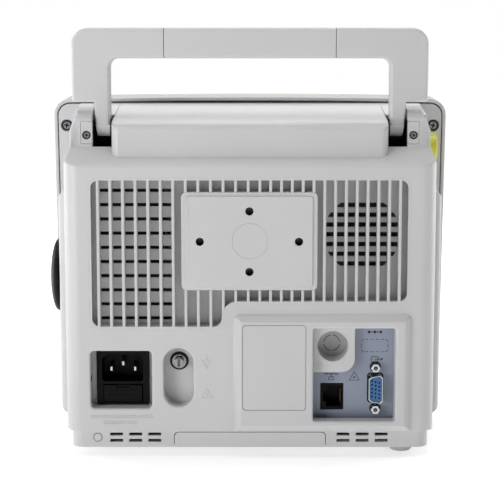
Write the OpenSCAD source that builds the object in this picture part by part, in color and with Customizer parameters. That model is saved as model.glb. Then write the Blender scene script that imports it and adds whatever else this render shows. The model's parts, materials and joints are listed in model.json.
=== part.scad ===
// Portable bedside patient monitor with a folding carrying handle.
// X runs to the right as the user faces the screen, Y from the screen to the rear, Z up.
// The origin is on the table under the middle of the monitor.

/* [Case] */
// Width of the front bezel across its top
bezel_w = 241.6; // [239:0.2:243]
// Height of the middle of the bezel's arched top edge above the table
bezel_top = 205; // [204.6:0.1:205.6]
// Width of the rear housing between its side walls
housing_w = 215; // [214:0.5:216]
// Distance from the origin to the flat rear face
rear_y = 56; // [55.8:0.1:56.4]
// Distance from the origin to the front face of the bezel
front_y = 59.4; // [58:0.2:61]
// Wall thickness of the mouldings
wall = 2.6; // [2.2:0.1:2.7]

/* [Handle] */
// Height of the handle's pivot above the table
pivot_z = 193; // [192.8:0.1:193.4]
// Distance from the pivot to the top of the raised handle
handle_rise = 55.4; // [50:0.2:60]
// Outside width of the handle
handle_w = 206.8; // [205.6:0.2:207.6]
// Thickness of the handle, front to back
handle_t = 15; // [13:0.5:15]
// Height of the grip bar
grip_h = 17.4; // [15:0.1:19]

/* [Rear mount] */
// Spacing of the two mounting holes side by side
mount_dx = 57; // [55:0.5:59]
// Spacing of the two mounting holes one above the other
mount_dz = 35.2; // [34:0.2:37]
// Radius of the mounting holes
mount_hole_r = 2.25; // [2.1:0.05:2.4]

/* [Controls] */
// Radius of the side control knob
knob_r = 22; // [19:0.5:22.5]
// How far the side knob can be pressed in
knob_press = 0.6; // [0.4:0.1:0.7]
// Travel of the front keys
key_travel = 0.8; // [0.5:0.1:1]

/* [Screen] */
// Width of the screen lens
lens_w = 198; // [190:1:204]
// Height of the screen lens
lens_h = 150; // [146:1:152]

/* [Hidden] */
$fn = 48;

gap = 0.3;
eps = 0.01;
big = 400;

case_grey = "#dcdddc";
inner_grey = "#b9babb";
soft_black = "#1a1b1d";
steel = "#c3c6c9";
label_blue = "#a7adbd";

// Planes along Y, front to back
bezel_back_y = -24;
frame_front_y = -28.6;
frame_back_y = -24.6;
inner_rear_y = rear_y - wall;
box_y = rear_y + 4;

// Heights
bezel_bottom = 2.5;
bezel_arch = 1.4;
plinth_z = 5;
body_z = 15;
shelf_z = [171, 180.2];
roof_front_z = 201.4;
shoulder_x = 104.6;

// Plan of the housing
housing_hw = housing_w / 2;
corner_r = 9;
plinth_in = 3;
pod_x = 113.2;
pod_rear_y = 30;
pod_z = [21, 150, 156];

// Where the top cover and the side panels part from the main housing
cover_split_z = 165.8;
panel_x = 99;

// Hood, ears and pivot
hood_hw = 79.8;
hood_y = 48;
hood_z = 191.9;
roof_break = [40, 195.4];
pivot_y = 27;
ear_x = [91.3, shoulder_x];
ear_r = 11.5;
ear_z = [196.6, 199.5, 203.6];
ear_rear_y = pivot_y + ear_r;
stop_y = 19;
slot_floor_z = 174;
pin_r = 3;
bush_r = 4.5;
shoulder_z = pivot_z + 12.7;
cover_z = [182, 195];
cover_x = 98;
cover_screw = [94.8, 187];

// Rear vent opening: its outline and the bars in it
vent_x = [-92.2, 92.8];
vent_z = [75.9, 90.8, 164];
vent_step_x = 15;
vent_step_r = 8;
vent_floor_y = rear_y - 8;
vent_lip = 1.4;
bar_t = 1.7;
left_pitch = 7.2;
right_pitch = 6.2;
left_bar_x = 87.4;
left_bars = 13;
right_bar_x = -5.7;
right_bars = 14;
slot_rows = 10;
slot_pitch = 8.33;
slot_z = 81;
slot_h = 2;
speaker_at = [-64.8, 130.3];
speaker_rows = 7;
speaker_pitch = 5.72;
speaker_r = 21;

// Rear mounting plate
plate_w = 78.4;
plate_h = 57;
plate_at = [0.3, 127.3];
plate_y = rear_y + 1;

// Mains inlet pocket, earth pocket and connector pocket: X and Z limits
inlet_x = [57.2, 92.8];
inlet_z = [28.6, 62.8];
inlet_y = rear_y - 9;
inlet_flange_t = 2.4;
inlet_floor_y = inlet_y - inlet_flange_t;
inlet_c = [74.6, 45.4];
inlet_w = 31;
inlet_h = 32.8;
earth_x = 41.5;
earth_r = 8.65;
earth_z = [38.3, 55.8];
earth_floor_y = rear_y - 10;
stud_z = 55.1;
pocket_x = [-84.2, -36.7];
pocket_z = [22, 76.9];
pocket_floor_y = rear_y - 8;
boss_x = -61.2;
boss_z = 49.8;
boss_r = 8;
boss_y = rear_y - 2;
aux_at = [-48.2, 65.4];
aux_r = 8.85;
aux_floor_y = rear_y - 16;
jack_x = [-54.9, -41.3];
jack_z = [26, 42];
video_at = [-73.5, 39.3];
video_dz = 25;
box_x = [-93.9, 9.7];
box_z = [body_z, 85];
box_slope = 4;
blank_x = [-32.3, 4.2];
blank_z = [28.7, 78.8];

// Battery bay and its door, which wraps from the base up the plinth's rear
door_hw = 44.2;
door_top_z = 13.9;
door_front_y = -19;
door_t = 2.4;
door_rear_y = rear_y - 1.5;

// Plinth louvres: first edge of each group of three, width and pitch
louvre_left_x = 52.1;
louvre_right_x = -80.7;
louvre_w = 7.45;
louvre_pitch = 11.2;
louvre_rows = [8.2, 12];
louvre_h = 1.7;

// Knob and side connectors, as Y and Z
knob_at = [4, 99.4];
knob_top_x = 120.4;
knob_base_x = pod_x + 1;
side_door_y = [-19.8, 21.8];
side_door_z = [27, 55.7];
bay_floor_x = 102;
side_pocket_y = [-19, 21];
side_pocket_z = [28, 146];
side_floor_x = -(housing_hw - 1);
socket_back_x = -96;
insert_x = -106;
insert_r = 5.5;
ecg_at = [-12, 175.5];
spo2_at = [1, 128];
nibp_at = [1, 98];
temp_at = [[-8, 70], [10, 70]];
ibp_at = [1, 45];

// Front layout
lens_z = 117;
lens_t = 2;
key_count = 5;
key_z = 22;
key_pitch = 25;
key_w = 18;
key_h = 10;
power_x = -98;
power_r = 6.5;
lamp_hw = 56;
lamp_z = 196.8;
lamp_back_y = -44;
bezel_screw_x = [113, 111.5];
bezel_screw_z = [187.5, 16];

// ---------- outline helpers ----------
function arc(c, r, a0, a1, n = 8) =
    [for (i = [0:n]) c + r * [cos(a0 + (a1 - a0) * i / n), sin(a0 + (a1 - a0) * i / n)]];
function rounded(x0, x1, z0, z1, r) = concat(
    arc([x1 - r, z1 - r], r, 0, 90), arc([x0 + r, z1 - r], r, 90, 180),
    arc([x0 + r, z0 + r], r, 180, 270), arc([x1 - r, z0 + r], r, 270, 360));

// Extrudes an X-Z outline from y0 to y1
module along_y(y0, y1) {
    translate([0, y1, 0]) rotate([90, 0, 0]) linear_extrude(y1 - y0) children();
}
// Extrudes a Y-Z outline from x0 to x1
module along_x(x0, x1) {
    translate([x0, 0, 0]) rotate([90, 0, 90]) linear_extrude(x1 - x0) children();
}
module block(x, y, z) {
    translate([x[0], y[0], z[0]]) cube([x[1] - x[0], y[1] - y[0], z[1] - z[0]]);
}
// Rounded rectangle in X-Z, extruded along Y
module panel(x, z, r, y0, y1) {
    along_y(y0, y1) polygon(rounded(x[0], x[1], z[0], z[1], r));
}
module rod_y(at, r, y0, y1) {
    translate([at[0], y0, at[1]]) rotate([-90, 0, 0]) cylinder(r = r, h = y1 - y0);
}
module rod_x(at, r, x0, x1) {
    translate([x0, at[0], at[1]]) rotate([0, 90, 0]) cylinder(r = r, h = x1 - x0);
}
module rod_z(at, r, z0, z1) {
    translate([at[0], at[1], z0]) cylinder(r = r, h = z1 - z0);
}
module both_sides() {
    children();
    mirror([1, 0, 0]) children();
}
// Slot with round ends, upright in X-Z
module stadium(x, z, r, y0, y1) {
    rod_y([x, z[0]], r, y0, y1);
    rod_y([x, z[1]], r, y0, y1);
    block([x - r, x + r], [y0, y1], z);
}

// ---------- rear housing ----------
// Height of the roof: steep behind its break, nearly flat in front of it
function roof(y) = y > roof_break[0]
    ? hood_z + (hood_y - y) * (roof_break[1] - hood_z) / (hood_y - roof_break[0])
    : roof_break[1] + (roof_break[0] - y) * (roof_front_z - roof_break[1])
        / (roof_break[0] - frame_back_y);
// Plan of the housing, drawn in by d from its walls and by back from its rear
module plan(d, back, r) {
    hw = housing_hw - d;
    y1 = rear_y - back;
    polygon(concat([[-hw, frame_back_y], [hw, frame_back_y]],
        arc([hw - r, y1 - r], r, 0, 90), arc([-hw + r, y1 - r], r, 90, 180)));
}
// The main block with its sloped shelf and its roof in front of the handle
module main_block(d, z0) {
    hw = housing_hw - d;
    sx = shoulder_x - d;
    z_low = shelf_z[0] - d * 0.4;
    z_high = shelf_z[1] - d;
    intersection() {
        translate([0, 0, z0]) linear_extrude(big) plan(d, d, corner_r - d);
        along_x(-big / 2, big / 2) polygon([
            [frame_back_y - 1, 0], [rear_y - d, 0], [rear_y - d, z_low],
            [ear_rear_y, z_high], [stop_y - d, z_high],
            [stop_y - d, roof(stop_y) - d], [frame_back_y - 1, roof(frame_back_y - 1) - d]]);
        along_y(-big / 2, big / 2) polygon([
            [-hw, 0], [hw, 0], [hw, z_low], [sx, z_high], [sx, 210],
            [-sx, 210], [-sx, z_high], [-hw, z_low]]);
    }
}
module hood(d) {
    r = 4.5;
    hw = hood_hw - d;
    y1 = hood_y - d;
    intersection() {
        along_x(-hw, hw) polygon([
            [frame_back_y, 170], [y1, 170 + wall], [y1, roof(y1) - d],
            [roof_break[0], roof_break[1] - d], [frame_back_y, roof(frame_back_y) - d]]);
        linear_extrude(210) polygon(concat([[-hw, frame_back_y], [hw, frame_back_y]],
            arc([hw - r, y1 - r], r, 0, 90), arc([-hw + r, y1 - r], r, 90, 180)));
    }
}
// Ear beside the handle's slot: upright at the rear, then a steep and a nearly flat top
module ear() {
    y0 = pivot_y - ear_r;
    intersection() {
        along_x(ear_x[0], ear_x[1]) polygon([[y0, 178], [ear_rear_y, 178], [ear_rear_y, ear_z[0]],
            [ear_rear_y - 4.5, ear_z[1]], [y0, ear_z[2]]]);
        along_y(y0 - 1, ear_rear_y + 1) polygon([[ear_x[0], 178], [ear_x[1], 178], [ear_x[1], 190],
            [ear_x[1] - 1.5, 194], [ear_x[1] - 3.3, 197.6], [ear_x[1] - 3.6, 210], [ear_x[0], 210]]);
    }
}
module pod() {
    r = 4;
    intersection() {
        linear_extrude(big) polygon(concat(
            [[housing_hw - 4, frame_back_y], [pod_x, frame_back_y]],
            arc([pod_x - r, pod_rear_y - r], r, 0, 90), [[housing_hw - 4, pod_rear_y + 2]]));
        along_y(-big / 2, big / 2) polygon([
            [housing_hw - 5, pod_z[0] - 3], [housing_hw, pod_z[0] - 3], [pod_x - 1, pod_z[0]],
            [pod_x, pod_z[0] + 2], [pod_x, pod_z[1]], [housing_hw, pod_z[2]],
            [housing_hw - 5, pod_z[2]]]);
    }
}
module connector_box() {
    intersection() {
        linear_extrude(box_z[1] + 1) polygon([
            [box_x[0], inner_rear_y], [box_x[0], rear_y], [box_x[0] + box_slope, box_y],
            [box_x[1] - box_slope, box_y], [box_x[1], rear_y], [box_x[1], inner_rear_y]]);
        along_x(box_x[0] - 1, box_x[1] + 1) polygon([
            [inner_rear_y, box_z[0]], [rear_y, box_z[0]], [box_y, box_z[0] + box_slope],
            [box_y, box_z[1] - box_slope], [rear_y, box_z[1]], [inner_rear_y, box_z[1]]]);
        panel(box_x, [box_z[0] - 8, box_z[1]], 5, inner_rear_y - 1, box_y + 1);
    }
}
module plinth() {
    translate([0, 0, plinth_z]) linear_extrude(body_z - plinth_z + eps)
        plan(plinth_in, rear_y - door_rear_y, corner_r - 2);
}
module housing_solid() {
    main_block(0, body_z);
    plinth();
    hood(0);
    both_sides() pod();
    both_sides() ear();
    connector_box();
    // boss under the ECG socket's collar
    rod_x(ecg_at, 9.4, -housing_hw, -100);
}
module housing_inside() {
    difference() {
        main_block(wall, body_z + wall);
        // walls left standing round the mains, connector and earth pockets
        panel([inlet_x[0] - 2, inlet_x[1] + 2], [inlet_z[0] - 2, inlet_z[1] + 2], 1,
            inlet_floor_y - 2, rear_y);
        panel([pocket_x[0] - 2, pocket_x[1] + 2], [pocket_z[0] - 2, pocket_z[1] + 2], 1,
            pocket_floor_y, rear_y);
        stadium(earth_x, earth_z, earth_r + 2, earth_floor_y - 2, rear_y);
        // trays under the handle's slots
        both_sides() block([hood_hw - wall, ear_x[1]], [stop_y - wall, ear_rear_y + 2],
            [slot_floor_z - wall, 185]);
        rod_x(ecg_at, 9.4, -housing_hw, -100);
        block([bay_floor_x - 2, pod_x], [side_door_y[0] + 2, side_door_y[1] - 2], [30, 54]);
    }
    translate([0, 0, plinth_z + wall]) linear_extrude(body_z)
        plan(plinth_in + wall, rear_y - door_rear_y + wall, corner_r - 2 - wall);
    hood(wall);
    // hollow of the knob's pod
    block([housing_hw - 5, pod_x - wall], [frame_back_y - 1, pod_rear_y - 5],
        [side_door_z[1] + 8, pod_z[1] - 3]);
}
module vent_outline(d) {
    r = 6 - d;
    x0 = vent_x[0] + d;
    x1 = vent_x[1] - d;
    z0 = vent_z[0] + d;
    z1 = vent_z[1] + d;
    z2 = vent_z[2] - d;
    xs = vent_step_x + d;
    rs = vent_step_r + d;
    polygon(concat(arc([x1 - r, z2 - r], r, 0, 90), arc([x0 + r, z2 - r], r, 90, 180),
        arc([x0 + r, z1 + r], r, 180, 270), arc([xs - rs, z1 - rs], rs, 90, 0),
        arc([xs + r, z0 + r], r, 180, 270), arc([x1 - r, z0 + r], r, 270, 360)));
}
module louvres(x0) {
    for (i = [0:2], z = louvre_rows)
        block([x0 + i * louvre_pitch, x0 + i * louvre_pitch + louvre_w],
            [rear_y - 8, rear_y], [z, z + louvre_h]);
}
module battery_opening() {
    r = 2.5;
    block([-door_hw - gap, door_hw + gap], [door_front_y - gap, rear_y + 1],
        [plinth_z - 1, plinth_z + wall + eps]);
    panel([-door_hw - gap, door_hw + gap], [plinth_z - 4, door_top_z + gap], r, rear_y - 6, rear_y + 1);
    // pin holes of the door's hinge
    rod_x(door_axis, door_pin_r + 0.03, -door_hw - 3, door_hw + 3);
}
module pin_cover_seat(grow) {
    panel([ear_x[0] - 2, cover_x + grow], [cover_z[0] - grow, cover_z[1] + grow], 1.2,
        ear_rear_y - 2, ear_rear_y + 1);
}
module side_door_seat() {
    // shallow seat, the bay behind it and the finger notch above it
    block([pod_x - 2, pod_x + 1], [side_door_y[0] - gap, side_door_y[1] + gap],
        [side_door_z[0] - 1.4, side_door_z[1] + gap]);
    block([bay_floor_x, pod_x - 1], [side_door_y[0] + 4, side_door_y[1] - 4], [32, 52]);
    rod_x([1, side_door_z[1]], 5, pod_x - 1.2, pod_x + 1);
}
module side_pocket() {
    along_x(-pod_x - 1, side_floor_x) polygon(rounded(side_pocket_y[0], side_pocket_y[1],
        side_pocket_z[0], side_pocket_z[1], 5));
}
module side_bores() {
    x0 = -pod_x - 1;
    x1 = -housing_hw + wall + 3;
    rod_x(ecg_at, 8.05, x0, -99);
    rod_x(spo2_at, 8.05, x0, x1);
    rod_x(nibp_at, 6.05, x0, x1);
    for (p = temp_at) rod_x(p, 4.55, x0, x1);
    rod_x(ibp_at, 8.05, x0, x1);
}
module housing_shell() {
    difference() {
        housing_solid();
        housing_inside();
        along_y(inner_rear_y - 1, rear_y + 1) vent_outline(0);
        panel(inlet_x, inlet_z, 2.5, inlet_floor_y, rear_y + 1);
        inlet_body(0.2, inlet_floor_y - 3, inlet_floor_y + 1);
        stadium(earth_x, earth_z, earth_r, earth_floor_y, rear_y + 1);
        rod_y([earth_x, stud_z], 4.4, earth_floor_y - 1, earth_floor_y + 1);
        rod_y([earth_x, stud_z], 3.1, earth_floor_y - 3, earth_floor_y);
        panel(pocket_x, pocket_z, 1.5, pocket_floor_y - 1, box_y + 1);
        panel([blank_x[0] - 0.2, blank_x[1] + 0.2], [blank_z[0] - 0.2, blank_z[1] + 0.2], 2,
            box_y - 2, box_y + 1);
        louvres(louvre_left_x);
        louvres(louvre_right_x);
        battery_opening();
        both_sides() {
            block([hood_hw, ear_x[0]], [stop_y, ear_rear_y - 2], [slot_floor_z, 186]);
            rod_x([pivot_y, pivot_z], pin_r + 0.03, hood_hw - 6, ear_x[0] + 8);
            pin_cover_seat(0.15);
            rod_y(cover_screw, 1.25, ear_rear_y - 9.5, ear_rear_y - 1);
        }
        rod_x(knob_at, 3.8, pod_x - 4, pod_x + 1);
        side_door_seat();
        side_pocket();
        side_bores();
    }
}
// The shell comes apart into a main housing, a top cover and a panel on each side
module side_panel_zone() {
    block([panel_x, big], [-big, pod_rear_y + 0.6], [pod_z[0] - 3, pod_z[2]]);
}
module rear_housing() {
    color(case_grey) difference() {
        housing_shell();
        block([-big, big], [-big, big], [cover_split_z, big]);
        both_sides() side_panel_zone();
    }
}
module top_cover() {
    color(case_grey) intersection() {
        housing_shell();
        block([-big, big], [-big, big], [cover_split_z, big]);
    }
}
module knob_panel() {
    color(case_grey) intersection() {
        housing_shell();
        side_panel_zone();
    }
}
module socket_panel() {
    color(case_grey) intersection() {
        housing_shell();
        mirror([1, 0, 0]) side_panel_zone();
    }
}

// Upright bars whose outer edges are eased
module vent_bars(x0, pitch, n, z0) {
    w = bar_t / 2;
    ease = 0.45;
    for (i = [0:n - 1])
        translate([x0 - i * pitch, 0, z0]) linear_extrude(vent_z[2] - 0.5 - z0) polygon([
            [-w, vent_floor_y - eps], [w, vent_floor_y - eps], [w, rear_y - ease],
            [w - ease * 0.3, rear_y - ease * 0.3], [w - ease, rear_y], [-w + ease, rear_y],
            [-w + ease * 0.3, rear_y - ease * 0.3], [-w, rear_y - ease]]);
}
module vent_slots() {
    for (i = [0:slot_rows - 1])
        block([left_bar_x - 6 * left_pitch, left_bar_x], [vent_floor_y - 3, vent_floor_y + 1],
            [slot_z + i * slot_pitch - slot_h / 2, slot_z + i * slot_pitch + slot_h / 2]);
    // rows of the speaker's grille, cut to its circle
    intersection() {
        rod_y(speaker_at, speaker_r + 1.2, vent_floor_y - 3, vent_floor_y + 1);
        for (i = [0:speaker_rows - 1])
            translate([speaker_at[0], 0, speaker_at[1] + (i - (speaker_rows - 1) / 2) * speaker_pitch])
                block([-speaker_r, speaker_r], [vent_floor_y - 4, vent_floor_y + 2], [-1.35, 1.35]);
    }
}
module vent_grille() {
    color(case_grey) {
        difference() {
            along_y(vent_floor_y - 2, rear_y) vent_outline(0.05);
            along_y(vent_floor_y, rear_y + 1) vent_outline(vent_lip);
            vent_slots();
        }
        intersection() {
            along_y(vent_floor_y - 1, rear_y) vent_outline(vent_lip - 0.2);
            difference() {
                union() {
                    vent_bars(left_bar_x, left_pitch, left_bars, vent_z[0] + 0.5);
                    vent_bars(right_bar_x, right_pitch, right_bars, vent_z[1] + 0.5);
                }
                plate_block(plate_w, plate_h, 3, vent_floor_y - 2, rear_y + 1);
            }
        }
    }
}

module plate_block(w, h, r, y0, y1) {
    panel([plate_at[0] - w / 2, plate_at[0] + w / 2], [plate_at[1] - h / 2, plate_at[1] + h / 2],
        r, y0, y1);
}
module mount_holes(r, y0, y1) {
    for (s = [-1, 1]) {
        rod_y(plate_at + [s * mount_dx / 2, 0], r, y0, y1);
        rod_y(plate_at + [0, s * mount_dz / 2], r, y0, y1);
    }
}
module mount_plate() {
    color(case_grey) difference() {
        union() {
            plate_block(plate_w, plate_h, 3, vent_floor_y, rear_y);
            plate_block(plate_w - 5.4, plate_h - 4.4, 2, rear_y - eps, plate_y);
        }
        mount_holes(mount_hole_r, rear_y - 5, plate_y + 1);
        mount_holes(3.5, vent_floor_y - 1, rear_y - 4);
    }
}
module mount_inserts() {
    color("#b58a3c") difference() {
        mount_holes(3.45, vent_floor_y, rear_y - 4);
        mount_holes(2.25, vent_floor_y - 1, rear_y);
    }
}

// ---------- bezel and screen ----------
// Outline of the bezel, drawn in by d, with its top edge arched by arch
module bezel_outline(d, top = bezel_top, arch = bezel_arch) {
    r = 10 - d;
    t = bezel_w / 2 - d;
    b = t - 2;
    z0 = bezel_bottom + d;
    z1 = top - d;
    steps = 6;
    zc = z1 - arch * pow((t - r) / t, 2) - r;
    polygon(concat(arc([t - r, zc], r, 0, 90),
        [for (i = [1:2 * steps - 1]) let (x = (t - r) * (1 - i / steps))
            [x, z1 - arch * pow(x / t, 2)]],
        arc([-t + r, zc], r, 90, 180),
        arc([-b + r, z0 + r], r, 180, 270), arc([b - r, z0 + r], r, 270, 360)));
}
module bezel_screw_at() {
    for (s = [-1, 1], i = [0, 1]) translate([s * bezel_screw_x[i], 0, bezel_screw_z[i]]) children();
}
module lens_block(w, h, r, y0, y1) {
    panel([-w / 2, w / 2], [lens_z - h / 2, lens_z + h / 2], r, y0, y1);
}
function key_x(i) = (i - 2.2) * key_pitch;
module key_block(x, grow, y0, y1) {
    hw = key_w / 2 + grow;
    hh = key_h / 2 + grow;
    panel([x - hw, x + hw], [key_z - hh, key_z + hh], 2, y0, y1);
}
module front_bezel() {
    bezel_wall = 2.2;
    inner_y = -front_y + wall;
    color(case_grey) difference() {
        union() {
            difference() {
                along_y(-front_y, bezel_back_y) bezel_outline(0);
                along_y(inner_y, bezel_back_y + 1) bezel_outline(bezel_wall);
            }
            // screw bosses, screen frame and the lamp's seat
            bezel_screw_at() rod_y([0, 0], 3.9, inner_y - eps, frame_front_y);
            difference() {
                lens_block(lens_w + 4, lens_h + 4, 4, -front_y + 1, -front_y + 14);
                lens_block(lens_w - 6, lens_h - 6, 2, -front_y, -front_y + 15);
            }
            block([-lamp_hw - 3, lamp_hw + 3], [-front_y + 1, lamp_back_y + 2],
                [lamp_z - 1.6, bezel_top - 2]);
        }
        lens_block(lens_w + 0.4, lens_h + 0.4, 3, -front_y - 1, -front_y + lens_t + 0.2);
        lens_block(lens_w - 10, lens_h - 10, 2, -front_y - 1, -front_y + 6);
        lens_block(lens_w + 0.8, lens_h + 0.8, 1, -front_y + 5, -front_y + 15);
        for (i = [0:key_count - 1]) key_block(key_x(i), gap, -front_y - 1, inner_y + 1);
        rod_y([power_x, key_z], power_r + gap, -front_y - 1, inner_y + 1);
        for (s = [0, 1]) rod_y([power_x + 16 + 7 * s, key_z], 1.55, -front_y - 1, inner_y + 1);
        bezel_screw_at() rod_y([0, 0], 1.3, inner_y + 2, frame_front_y + 1);
        block([-lamp_hw - 0.2, lamp_hw + 0.2], [-front_y - 1, lamp_back_y], [lamp_z, bezel_top + 1]);
    }
}
module display_back_frame() {
    color(case_grey) difference() {
        along_y(frame_front_y, frame_back_y) bezel_outline(2.7, bezel_top - bezel_arch, 0);
        panel([-98, 98], [24, 176], 4, frame_front_y - 1, frame_back_y + 1);
        bezel_screw_at() {
            rod_y([0, 0], 3.7, frame_back_y - 1.8, frame_back_y + 1);
            rod_y([0, 0], 1.8, frame_front_y - 1, frame_back_y);
        }
    }
}
// Pan-head screw along Y with its head's face at y and a cross recess
module pan_screw(y, head_r, head_h, shaft_r, length) {
    difference() {
        union() {
            rod_y([0, 0], head_r, y - head_h, y);
            rod_y([0, 0], shaft_r, y - head_h - length, y - head_h + eps);
        }
        for (a = [0, 90]) rotate([0, a, 0])
            translate([-head_r * 0.55, y - head_h * 0.6, -0.35]) cube([head_r * 1.1, head_h, 0.7]);
    }
}
module case_screws() {
    color(steel) {
        bezel_screw_at() pan_screw(frame_back_y - 0.3, 3.2, 1.5, 1.25, 14);
        both_sides() translate([cover_screw[0], 0, cover_screw[1]])
            pan_screw(ear_rear_y - 0.15, 2.3, 1.1, 1.2, 7);
    }
}
module screen_lens() {
    color("#0c0d10", 0.9) lens_block(lens_w, lens_h, 3, -front_y + 0.2, -front_y + 0.2 + lens_t);
}
module alarm_lamp() {
    color("#e9e3d2", 0.7) intersection() {
        block([-lamp_hw, lamp_hw], [-front_y + 0.1, lamp_back_y - 0.2], [lamp_z + 0.1, bezel_top]);
        along_y(-front_y, lamp_back_y) bezel_outline(0.05);
    }
}
// Display panel with the sheet frame on its back
module lcd_module() {
    back_y = -front_y + 13.5;
    color("#2a2c30") {
        lens_block(lens_w, lens_h, 1, -front_y + 6.2, back_y);
        difference() {
            lens_block(lens_w - 4, lens_h - 4, 1, back_y - eps, back_y + 1.2);
            lens_block(lens_w - 40, lens_h - 40, 4, back_y - 1, back_y + 2);
        }
    }
}

// ---------- boards and modules inside ----------
mid_plate_y = [-6, -4.6];
board_y = [-18, -16.4];
board_posts = [[-84, 56], [-84, 166], [74, 56], [74, 166]];
module main_board() {
    color("#1f5a37") difference() {
        block([-90, 80], board_y, [50, 172]);
        for (p = board_posts) rod_y(p, 1.8, board_y[0] - 1, board_y[1] + 1);
    }
}
module chassis_plate() {
    color(steel) difference() {
        union() {
            block([-92, 92], mid_plate_y, [46, 176]);
            both_sides() block([90.6, 92], [frame_back_y + 2, mid_plate_y[0] + eps], [60, 160]);
            for (p = board_posts) rod_y(p, 3.4, board_y[1], mid_plate_y[1] - 0.5);
        }
        for (i = [-2:2], j = [-1:1])
            rod_y([i * 30, 112 + j * 34], 7, mid_plate_y[0] - 1, mid_plate_y[1] + 1);
    }
}
module power_board() {
    color("#1f5a37") block([50, 98], [40, 41.6], [72, 168]);
}
module board_parts() {
    y = board_y[1];
    color("#17181a") {
        // on the main board
        block([-30, 2], [y, y + 4], [96, 128]);
        for (i = [0:3]) block([20 + i * 14, 31 + i * 14], [y, y + 1.5], [104, 122]);
        for (i = [0:2]) block([-78, -58], [y, y + 6], [64 + i * 30, 82 + i * 30]);
        for (x = [-40, 0, 40]) block([x, x + 26], [y, y + 8], [60, 66]);
        // on the power board
        block([60, 88], [16, 40], [112, 126]);
        for (z = [80, 134, 150]) rod_y([60, z], 5.5, 18, 40);
        rod_y([86, 82], 7, 14, 40);
        for (i = [0:4]) block([74 + i * 5, 75.6 + i * 5], [16, 40], [130, 162]);
        block([72, 97], [37, 40], [130, 162]);
    }
}
module parameter_board() {
    x = socket_back_x;
    color("#1f5a37") block([x, x + 1.6], [-22, 26], [32, 150]);
    color("#17181a") for (z = [52, 82, 112]) block([x + 1.6, x + 3.6], [-10, 12], [z, z + 16]);
}
module key_board() {
    color("#1f5a37") block([power_x - 9, key_x(key_count - 1) + 12],
        [-front_y + wall + 4, -front_y + wall + 5.6], [key_z - 8, key_z + 8]);
}
module battery_bay() {
    color(inner_grey) difference() {
        block([-40, 40], [-20, 43.5], [plinth_z + wall + 0.2, 38]);
        block([-38, 38], [-18, 41.5], [plinth_z, 36]);
    }
}
module battery_pack() {
    color("#34383c") block([-36.5, 36.5], [-16.5, 40], [plinth_z + door_t + 0.4, 33]);
}
// Cuff pump with the valve block under it, joined by an air tube
module pressure_unit() {
    color("#8e9194") {
        rod_x([20, 110], 14, -40, 6);
        rod_x([20, 110], 9, 6 - eps, 26);
        rod_x([20, 110], 2.2, 26 - eps, 34);
        block([-34, 0], [mid_plate_y[1], 8], [98, 122]);
        block([-34, 2], [mid_plate_y[1], 18], [64, 86]);
        for (x = [-28, -16, -4]) rod_z([x, 8], 5, 86 - eps, 94);
        rod_z([-10, 16], 2, 86 - eps, 98);
    }
}
module speaker_frame() {
    at = speaker_at;
    color(soft_black) {
        difference() {
            rod_y(at, 23, vent_floor_y - 6, vent_floor_y - 2.2);
            rod_y(at, 20, vent_floor_y - 7, vent_floor_y - 2);
        }
        difference() {
            rod_y(at, 21.5, vent_floor_y - 9, vent_floor_y - 6 + eps);
            rod_y(at, 19, vent_floor_y - 8, vent_floor_y);
        }
        rod_y(at, 11, vent_floor_y - 17, vent_floor_y - 9 + eps);
    }
}
module speaker_cone() {
    translate([speaker_at[0], vent_floor_y - 3, speaker_at[1]]) rotate([90, 0, 0])
        color("#3b3d40") rotate_extrude($fn = 64)
            polygon([[0, 2.6], [5, 2.6], [6, 3.8], [18.6, 0.4], [18.6, 1.2], [6, 3.99], [0, 3.99]]);
}

// ---------- battery door, feet ----------
door_axis = [door_front_y + door_t / 2, plinth_z + door_t / 2];
door_pin_r = 0.6;
module battery_door() {
    color(case_grey) {
        difference() {
            union() {
                block([-door_hw, door_hw], [door_axis[0], door_rear_y], [plinth_z, plinth_z + door_t]);
                rod_x(door_axis, door_t / 2, -door_hw, door_hw);
                intersection() {
                    panel([-door_hw, door_hw], [plinth_z - 8, door_top_z], 2.5,
                        door_rear_y - door_t, door_rear_y);
                    block([-big, big], [0, big], [plinth_z, big]);
                }
                for (x = [-20, 20])
                    block([x - 6, x + 6], [door_rear_y - 5.4, door_rear_y - 2.3],
                        [door_top_z - 3, door_top_z - 1]);
            }
            block([-12, 12], [door_rear_y - 12, door_rear_y - 8], [plinth_z - 1, plinth_z + 0.8]);
        }
        rod_x(door_axis, door_pin_r, -door_hw - 2.4, door_hw + 2.4);
    }
}
rear_feet = [[-89.5, 40], [86, 20]];
front_feet = [[-88, -42], [88, -42]];
module foot(p, top) {
    rod_z(p, 6.5, 1, top);
    translate([p[0], p[1], 0]) cylinder(r1 = 5.6, r2 = 6.5, h = 1 + eps);
}
module rubber_feet() {
    color(soft_black) {
        for (p = rear_feet) foot(p, plinth_z);
        for (p = front_feet) foot(p, bezel_bottom);
    }
}

// ---------- mains inlet, fuse drawer and earth stud ----------
inlet_back_y = inlet_y - 22;
socket_c = inlet_c + [0.2, 5.6];
socket_depth = 15;
drawer_z = [30.4, 41];
// C14 opening: a rectangle with its upper corners cut off and its lower ones eased
module c14_outline(d) {
    w = 12 - d;
    h = 8.1 - d;
    c = 2.8;
    f = 1;
    polygon([[-w, -h + f], [-w + f, -h], [w - f, -h], [w, -h + f], [w, h - c], [w - c, h],
        [-w + c, h], [-w, h - c]]);
}
module inlet_body(grow, y0, y1) {
    w = 13.6 + grow;
    h = 15.4 + grow;
    panel([inlet_c[0] - w, inlet_c[0] + w], [inlet_c[1] - h, inlet_c[1] + h], 0.6, y0, y1);
}
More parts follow.
